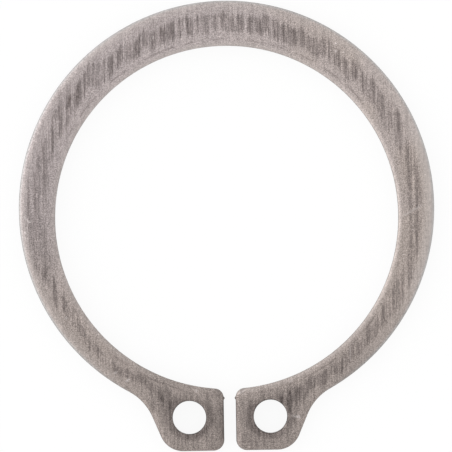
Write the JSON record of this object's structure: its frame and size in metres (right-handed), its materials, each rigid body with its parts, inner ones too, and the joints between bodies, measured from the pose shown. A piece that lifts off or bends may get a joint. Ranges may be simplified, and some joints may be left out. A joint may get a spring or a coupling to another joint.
{
  "type": "external retaining ring",
  "caption": "Flat open spring ring with a tapering band and two drilled lugs; pliers spread it over a shaft so that it snaps into a groove and stops a part sliding off.",
  "frame": {"origin": "centre of the bore, in the plane of the lower face that the ring lies on", "axes": "+Z along the shaft's axis, up through the rolled face; the lugs point along -Y, with the gap on the Y axis"},
  "size_m": [0.0268, 0.0291, 0.0012],
  "materials": {
    "spring_steel": "bare tumbled spring steel, dull warm grey, with dark grinding streaks along Y and brighter rolled edges"
  },
  "bodies": {
    "root": {"retaining_ring": "spring_steel"}
  },
  "joints": []
}
